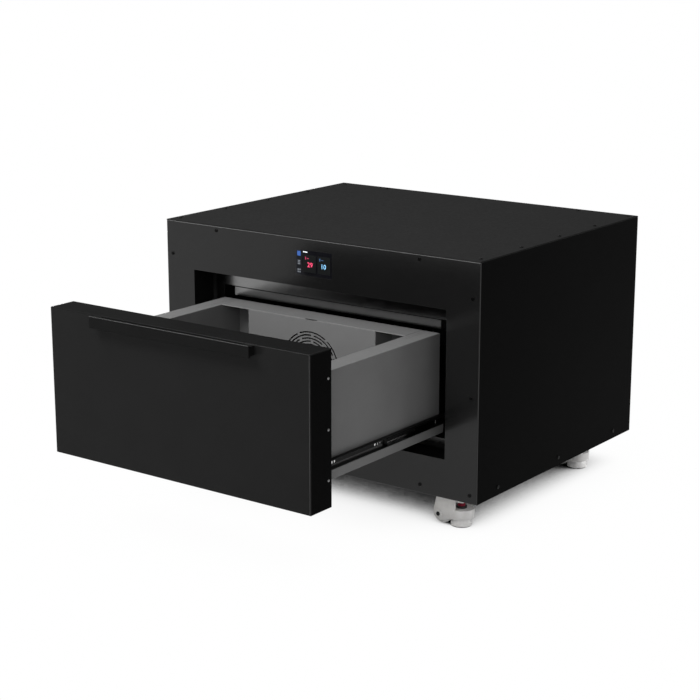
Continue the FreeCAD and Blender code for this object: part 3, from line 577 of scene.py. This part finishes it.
# Slide fittings: ball track, ball cage, latch and stops, thin enough for the play between the rails
RAIL_SKIN = 1.2 * MM
FITTING_RISE = 0.2 * MM
TRACK_START = 6.0 * MM
TRACK_GAP = 4.0 * MM
TRACK_RISE = 4.4 * MM
STUD_TAPER = 0.8
STUD_SIDES = 16
STUD_SMOOTH_DEG = 50.0
LATCH_PLACE = 44.0 * MM
LATCH_PITCH = 7.0 * MM
LATCH_WIDTH = 2.4 * MM
LATCH_FOOT = 6.0 * MM
LATCH_HEAD = 12.0 * MM
CAGE_PLACE = 22.0 * MM
CAGE_STUD_RISE = 1.0 * MM
CAGE_STUD_RADIUS = 2.6 * MM
CAGE_TAB_PITCH = 7.0 * MM
CAGE_TAB_WIDTH = 1.6 * MM
CAGE_TAB_BELOW = 1.6 * MM
CAGE_TAB_ABOVE = 3.6 * MM
STOP_WIDTH = 2.2 * MM
BALL_RADIUS = 1.4 * MM
BALL_START = 10.0 * MM
BALL_PITCH = 4.2 * MM
BALL_PLAY = 0.3 * MM
BALL_COUNT = 14

# Name, material, distance from the middle rail's front end and half height
SLIDE_STOPS = (("stop", bright_steel, 92.0 * MM, 3.0 * MM),
               ("bumper", finish["white_nylon"], 161.0 * MM, 5.2 * MM))


def slide_fittings(side_name, side):
    """Fittings are drawn for the right-hand slide and mirrored for the left."""
    drawer_low, drawer_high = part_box(side_name + "_slide_drawer_rail")
    middle_low, middle_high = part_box(side_name + "_slide_middle_rail")
    web = min(abs(drawer_low.x), abs(drawer_high.x)) + RAIL_SKIN
    inner = min(abs(middle_low.x), abs(middle_high.x)) + RAIL_SKIN
    front = drawer_low.y
    track_end = middle_low.y - TRACK_GAP
    low = drawer_low.z + RAIL_SKIN + HAIR
    height = (drawer_low.z + drawer_high.z) / 2

    def patch(mesh, x, y, z):
        low_x, high_x = sorted((side * (x - HAIR), side * (x + FITTING_RISE)))
        add_block(mesh, (low_x, y[0], z[0]), (high_x, y[1], z[1]))

    def stud(mesh, x, y, z, radius):
        profile = [(radius, 0.0), (radius, FITTING_RISE),
                   (radius * STUD_TAPER, FITTING_RISE + HAIR)]
        add_turned(mesh, (side * (x - HAIR), y, z), (side, 0.0, 0.0), profile, STUD_SIDES)

    track = bmesh.new()
    patch(track, web, (front + TRACK_START, track_end), (low, low + TRACK_RISE))
    piece(side_name + "_slide_track", track, dark_steel, "drawer")

    latch = bmesh.new()
    for step in (0, 1):
        y = front + LATCH_PLACE + step * LATCH_PITCH
        patch(latch, web, (y, y + LATCH_WIDTH), (low + LATCH_FOOT, low + LATCH_HEAD))
    piece(side_name + "_slide_latch", latch, bright_steel, "drawer")

    cage = bmesh.new()
    y = track_end - CAGE_PLACE
    stud(cage, web, y, height + CAGE_STUD_RISE, CAGE_STUD_RADIUS)
    for step in (1, 2):
        tab = y + step * CAGE_TAB_PITCH
        patch(cage, web, (tab, tab + CAGE_TAB_WIDTH),
              (height - CAGE_TAB_BELOW, height + CAGE_TAB_ABOVE))
    piece(side_name + "_slide_cage_end", cage, bright_steel, "drawer",
          STUD_SMOOTH_DEG)

    for name, paint, reach, rise in SLIDE_STOPS:
        tab = bmesh.new()
        y = middle_low.y + reach
        patch(tab, inner, (y, y + STOP_WIDTH), (height - rise, height + rise))
        piece(side_name + "_slide_" + name, tab, paint, side_name + "_middle_rail")

    balls = bmesh.new()
    reach = (middle_high.z - middle_low.z) / 2 - RAIL_SKIN - BALL_RADIUS - BALL_PLAY
    for i in range(BALL_COUNT):
        y = middle_low.y + BALL_START + i * BALL_PITCH
        for edge in (-1, 1):
            stud(balls, inner, y, height + edge * reach, BALL_RADIUS)
    piece(side_name + "_slide_balls", balls, bright_steel, side_name + "_middle_rail",
          STUD_SMOOTH_DEG)


slide_fittings("right", 1.0)
slide_fittings("left", -1.0)


# Seams where the folded rims of the drawer walls meet, and a black patch painted as the shade in
# the slot of the rear rim
SEAM_WIDTH = 0.5 * MM
SEAM_LENGTH = 78.0 * MM
SEAM_OFFSETS = (9.0 * MM, 15.0 * MM)
SLOT_LEFT = -10.0 * MM
SLOT_RIGHT = 16.0 * MM
SLOT_HEIGHT = 0.6 * MM
SLOT_DEPTH = 2.0 * MM


def rim_seams():
    wall_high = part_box("right_drawer_wall")[1]
    rear_low, rear_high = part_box("drawer_rear_wall")
    top = wall_high.z
    seams = []
    for side in (-1, 1):
        low_x, high_x = sorted((side * rear_high.x, side * (rear_high.x + SEAM_WIDTH)))
        seams.append(((low_x, rear_low.y, top), (high_x, rear_high.y, top + HAIR)))
        for offset in SEAM_OFFSETS:
            x = rear_high.x + offset
            low_x, high_x = sorted((side * x, side * (x + SEAM_WIDTH)))
            seams.append(((low_x, wall_high.y - SEAM_LENGTH, top),
                          (high_x, wall_high.y, top + HAIR)))
    block_piece("drawer_rim_seams", seams, seam_grey, "drawer")
    # Black patch painted as the shade inside the slot
    slot = ((SLOT_LEFT, rear_low.y - HAIR, rear_high.z - SLOT_HEIGHT),
            (SLOT_RIGHT, rear_low.y + SLOT_DEPTH, rear_high.z + HAIR))
    block_piece("drawer_rim_slot", [slot], painted_shade_black, "drawer")


rim_seams()


# Thin lines: lighter strips painted as highlights along edges, matt sheets on the drawer front's
# folds, darker on its sides as painted shade, and a black strip painted as the shadow over the
# ceiling lip
EDGE_LINE = 1.1 * MM
EDGE_INSET = 1.4 * MM
FOLD = 1.5 * MM
GAP_HALF = 247.0 * MM
GAP_DROP = 1.2 * MM
GAP_HEIGHT = 2.6 * MM
GAP_DEPTH = 3 * HAIR


def painted_highlights_and_folds():
    low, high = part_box("front_panel")
    # Lighter strip painted as a highlight along the top front edge
    top_highlight = ((low.x + EDGE_LINE, low.y - HAIR, high.z - EDGE_LINE),
                (high.x - EDGE_LINE, low.y, high.z))
    block_piece("top_front_highlight", [top_highlight], edge_highlight_grey, "cabinet")

    low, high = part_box("drawer_front_skin")
    # Dim strip painted as a highlight along the drawer front's right edge
    corner_highlight = ((high.x - EDGE_INSET - EDGE_LINE, low.y - HAIR, low.z + EDGE_INSET),
                   (high.x - EDGE_INSET, low.y, high.z - EDGE_INSET))
    block_piece("drawer_front_highlight", [corner_highlight], dim_edge_highlight, "drawer")
    # Darker sheets on the drawer front's sides, as painted shade
    side_shade_folds = [((x, low.y + FOLD, low.z + FOLD), (x + HAIR, high.y, high.z - FOLD))
                  for x in (low.x - HAIR, high.x)]
    block_piece("drawer_side_shade_folds", side_shade_folds, shaded_black_paint, "drawer")
    top_fold = ((low.x + FOLD, low.y + FOLD, high.z), (high.x - FOLD, high.y, high.z + HAIR))
    block_piece("drawer_top_fold", [top_fold], finish["black_paint"], "drawer")

    low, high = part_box("drawer_handle")
    # Lighter strip painted as a highlight along the handle's top edge
    handle_highlight = ((low.x + EDGE_LINE, low.y - HAIR, high.z - EDGE_LINE / 2),
                   (high.x - EDGE_LINE, low.y, high.z))
    block_piece("handle_top_highlight", [handle_highlight], edge_highlight_grey, "drawer")


# Black strip painted as the shadow under the ceiling lip
def painted_shadow_line():
    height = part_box("chamber_ceiling")[1].z - GAP_DROP
    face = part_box("chamber_face_frame")[1].y
    gap = ((-GAP_HALF, face - GAP_DEPTH, height - GAP_HEIGHT), (GAP_HALF, face, height))
    block_piece("ceiling_painted_shadow", [gap], painted_shade_black, "cabinet")


painted_highlights_and_folds()
painted_shadow_line()


# Grille of the fan cover: a black disc behind it and black walls in its slots, both painted shade
# that darkens the slots
SHADE_DISC_RADIUS = 69.0 * MM
SHADE_DISC_THICKNESS = 0.8 * MM
SHADE_DISC_SIDES = 64
BEHIND_SHEET = 1.6 * MM
WALL_FACING = 0.1


def grille():
    cover_low, cover_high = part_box("drawer_rear_cover")
    fan_low, fan_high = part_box("fan_frame")
    centre_x = (cover_low.x + cover_high.x) / 2
    centre_z = (fan_low.z + fan_high.z) / 2
    back = cover_low.y + BEHIND_SHEET

    # Black disc behind the grille, as painted shade seen through the slots
    shade_disc = bmesh.new()
    add_turned(shade_disc, (centre_x, back, centre_z), (0.0, 1.0, 0.0),
               [(SHADE_DISC_RADIUS, 0.0), (SHADE_DISC_RADIUS, SHADE_DISC_THICKNESS)], SHADE_DISC_SIDES)
    piece("drawer_grille_shade_disc", shade_disc, painted_shade_black, "drawer", SMOOTH_DEG)

    cover = nodes["drawer_rear_cover"].data
    # The slot walls take the black as painted shade
    cover.materials.append(painted_shade_black)
    for face in cover.polygons:
        reach = math.hypot(face.center.x - centre_x, face.center.z - centre_z)
        if abs(face.normal.y) < WALL_FACING and reach < SHADE_DISC_RADIUS and face.center.y < back:
            face.material_index = 1


grille()


# Casters: castings with softened edges, axle bolts, thumb nuts and the cups of the feet
CORNERS = ("front_right", "front_left", "rear_right", "rear_left")
UP = (0.0, 0.0, 1.0)
CAST_EDGE = 0.9 * MM
CAST_WELD = 0.005 * MM
CAST_FLAT_DEG = 0.5
CAST_SHARP_DEG = 40.0
CUP_SIDES = 40

# Radius and height along the axle
AXLE_RING = [(8.0 * MM, -0.4 * MM), (8.0 * MM, 0.9 * MM), (7.2 * MM, 1.6 * MM),
             (5.0 * MM, 1.6 * MM), (4.6 * MM, 0.6 * MM)]
AXLE_SOCKET = [(4.5 * MM, 0.2 * MM), (4.5 * MM, 0.9 * MM)]

# Shares of the nut's radius and height
NUT_CAP = [(0.72, 0.4), (0.72, 0.9), (0.64, 1.0)]
NUT_COLLAR = [(1.0, 0.0), (1.0, 0.4), (0.92, 0.46)]

# Share of the foot's radius, and height
FOOT_CUP = [(0.98, 2.0 * MM), (0.98, 6.0 * MM), (0.84, 13.0 * MM)]


def seat_of(node_name):
    """Middle of a node's underside, with its radius and height."""
    low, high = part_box(node_name)
    middle = (low + high) / 2
    return Vector((middle.x, middle.y, low.z)), (high.x - low.x) / 2, high.z - low.z


def softened(node_name, body, slot):
    """Copy of a solid with its sharp edges rounded, shown in its place."""
    mesh = bmesh.new()
    mesh.from_mesh(nodes[node_name].data)
    bmesh.ops.remove_doubles(mesh, verts=mesh.verts, dist=CAST_WELD)
    bmesh.ops.dissolve_limit(mesh, angle_limit=math.radians(CAST_FLAT_DEG), verts=mesh.verts,
                             edges=mesh.edges)
    least = math.radians(CAST_SHARP_DEG)
    sharp = [edge for edge in mesh.edges if edge.calc_face_angle(0.0) > least]
    bmesh.ops.bevel(mesh, geom=sharp, offset=CAST_EDGE, segments=2, affect="EDGES", profile=0.5,
                    clamp_overlap=True)
    made = piece(node_name + "_cast", mesh, finish[slot], body, SMOOTH_DEG)
    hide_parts(node_name)


def axle_bolts(corner):
    """Ring and black hexagon on both cheeks of a caster, the hexagon painted as the shade in the
    socket.
    """
    wheel_low, wheel_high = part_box(corner + "_caster_wheel")
    housing_low, housing_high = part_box(corner + "_caster_housing")
    centre = (wheel_low + wheel_high) / 2
    rings = bmesh.new()
    sockets = bmesh.new()
    for side, cheek in ((-1.0, housing_low.y), (1.0, housing_high.y)):
        place = Vector((centre.x, cheek, centre.z))
        axis = (0.0, side, 0.0)
        add_turned(rings, place, axis, AXLE_RING)
        add_turned(sockets, place, axis, AXLE_SOCKET, hexagon_from=0)
    piece(corner + "_axle_rings", rings, finish["caster_casting"], corner + "_caster",
          SMOOTH_DEG)
    piece(corner + "_axle_sockets", sockets, painted_shade_black, corner + "_caster")


def thumb_nut(corner):
    """Dark collar with a red cap, in place of the plain nut."""
    seat, radius, height = seat_of(corner + "_caster_thumb_nut")
    cap = bmesh.new()
    add_turned(cap, seat, UP, [(radius * across, height * up) for across, up in NUT_CAP])
    made = piece(corner + "_thumb_cap", cap, finish["red_plastic"], corner + "_nut",
                 SMOOTH_DEG)
    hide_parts(corner + "_caster_thumb_nut")
    collar = bmesh.new()
    add_turned(collar, seat, UP, [(radius * across, height * up) for across, up in NUT_COLLAR])
    piece(corner + "_thumb_collar", collar, finish["black_plastic"], corner + "_nut",
          SMOOTH_DEG)


def foot_cup(corner):
    """Cup over the levelling pad, short of the housing."""
    seat, radius, _ = seat_of(corner + "_caster_foot")
    cup = bmesh.new()
    add_turned(cup, seat, UP, [(radius * across, up) for across, up in FOOT_CUP], CUP_SIDES)
    piece(corner + "_foot_cup", cup, finish["foot_plastic"], corner + "_foot",
          SMOOTH_DEG)


for corner_name in CORNERS:
    thumb_nut(corner_name)
    foot_cup(corner_name)
    softened(corner_name + "_caster_housing", corner_name + "_caster", "caster_casting")
    axle_bolts(corner_name)


# Floor, light and camera
FLOOR_REACH = 60.0
FLOOR_TONE = 0.8
SHADOW_REACH = 0.2
SHADOW_FADE = 8.5
SHADOW_CORE = 0.117
SHADOW_SAMPLES = 32
WORLD_TONE = 0.25

# Name, place, target, width, height, power in watts and spread in degrees
LIGHTS = (("key_light", (-0.6, -1.45, 2.0), (-0.1, -0.1, 0.4), 1.6, 1.0, 75.0, 180.0),
          ("fill_light", (1.5, -2.6, 1.3), (0.0, -0.1, 0.25), 1.2, 1.2, 20.0, 180.0),
          ("top_light", (-0.2, 0.5, 2.8), (0.0, 0.1, 0.4), 2.2, 2.2, 14.0, 180.0),
          ("side_light", (1.7, 0.9, 0.45), (0.33, 0.42, 0.03), 0.5, 0.5, 0.85, 45.0),
          ("back_light", (-1.9, 1.9, 0.22), (-0.1, 0.4, 0.22), 1.4, 0.34, 30.0, 180.0))

CAMERA_PLACE = (1.9586, -2.6186, 1.1066)
CAMERA_TILT_DEG = 75.766
CAMERA_TURN_DEG = 36.535
CAMERA_LENS_MM = 89.19
SENSOR_MM = 36.0


def math_node(tree, operation, first, second):
    """Math node whose inputs are numbers or the outputs of other nodes."""
    made = tree.nodes.new("ShaderNodeMath")
    made.operation = operation
    for socket, value in zip(made.inputs, (first, second)):
        if isinstance(value, bpy.types.NodeSocket):
            tree.links.new(value, socket)
        else:
            socket.default_value = value
    return made


def background_rays(tree):
    """Factor that is 1 for the rays that look at the background."""
    path = tree.nodes.new("ShaderNodeLightPath")
    total = path.outputs["Is Camera Ray"]
    for name in ("Is Glossy Ray", "Is Transmission Ray"):
        total = math_node(tree, "MAXIMUM", total, path.outputs[name]).outputs["Value"]
    return total


def floor_material():
    """White to the eye, with a shadow painted from occlusion where the object stands close to it.
    """
    material = bpy.data.materials.new("floor")
    material.use_nodes = True
    tree = material.node_tree
    tree.nodes.clear()
    output = tree.nodes.new("ShaderNodeOutputMaterial")
    diffuse = tree.nodes.new("ShaderNodeBsdfDiffuse")
    diffuse.inputs["Color"].default_value = (*grey(FLOOR_TONE), 1.0)
    shade = tree.nodes.new("ShaderNodeAmbientOcclusion")
    shade.samples = SHADOW_SAMPLES
    shade.inputs["Distance"].default_value = SHADOW_REACH
    fade = math_node(tree, "POWER", math.exp(-SHADOW_FADE), shade.outputs["AO"])
    dark = math_node(tree, "MULTIPLY", fade.outputs["Value"], math.exp(SHADOW_FADE * SHADOW_CORE))
    lit = math_node(tree, "SUBTRACT", 1.0, dark.outputs["Value"])
    lit.use_clamp = True
    white = tree.nodes.new("ShaderNodeEmission")
    mixer = tree.nodes.new("ShaderNodeMixShader")
    tree.links.new(lit.outputs["Value"], white.inputs["Strength"])
    tree.links.new(background_rays(tree), mixer.inputs["Fac"])
    tree.links.new(diffuse.outputs["BSDF"], mixer.inputs[1])
    tree.links.new(white.outputs["Emission"], mixer.inputs[2])
    tree.links.new(mixer.outputs["Shader"], output.inputs["Surface"])
    return material


def floor():
    mesh = bpy.data.meshes.new("floor")
    reach = FLOOR_REACH
    corners = [(-reach, -reach, 0), (reach, -reach, 0), (reach, reach, 0), (-reach, reach, 0)]
    mesh.from_pydata(corners, [], [(0, 1, 2, 3)])
    mesh.materials.append(floor_material())
    made = bpy.data.objects.new("floor", mesh)
    bpy.context.scene.collection.objects.link(made)


def world():
    made = bpy.data.worlds.new("studio")
    bpy.context.scene.world = made
    made.use_nodes = True
    background = made.node_tree.nodes["Background"]
    background.inputs["Color"].default_value = (1.0, 1.0, 1.0, 1.0)
    background.inputs["Strength"].default_value = WORLD_TONE


def softbox(name, place, target, width, height, power, spread_deg):
    light = bpy.data.lights.new(name, "AREA")
    light.shape = "RECTANGLE"
    light.size = width
    light.size_y = height
    light.energy = power
    light.spread = math.radians(spread_deg)
    made = bpy.data.objects.new(name, light)
    made.location = place
    made.rotation_euler = (Vector(target) - Vector(place)).to_track_quat("-Z", "Y").to_euler()
    bpy.context.scene.collection.objects.link(made)


def camera():
    data = bpy.data.cameras.new("camera")
    data.sensor_width = SENSOR_MM
    data.lens = CAMERA_LENS_MM
    made = bpy.data.objects.new("camera", data)
    made.location = CAMERA_PLACE
    made.rotation_euler = Euler((math.radians(CAMERA_TILT_DEG), 0.0, math.radians(CAMERA_TURN_DEG)))
    bpy.context.scene.collection.objects.link(made)
    bpy.context.scene.camera = made


floor()
world()
for light_row in LIGHTS:
    softbox(*light_row)
camera()

bpy.context.scene.view_settings.view_transform = "Standard"
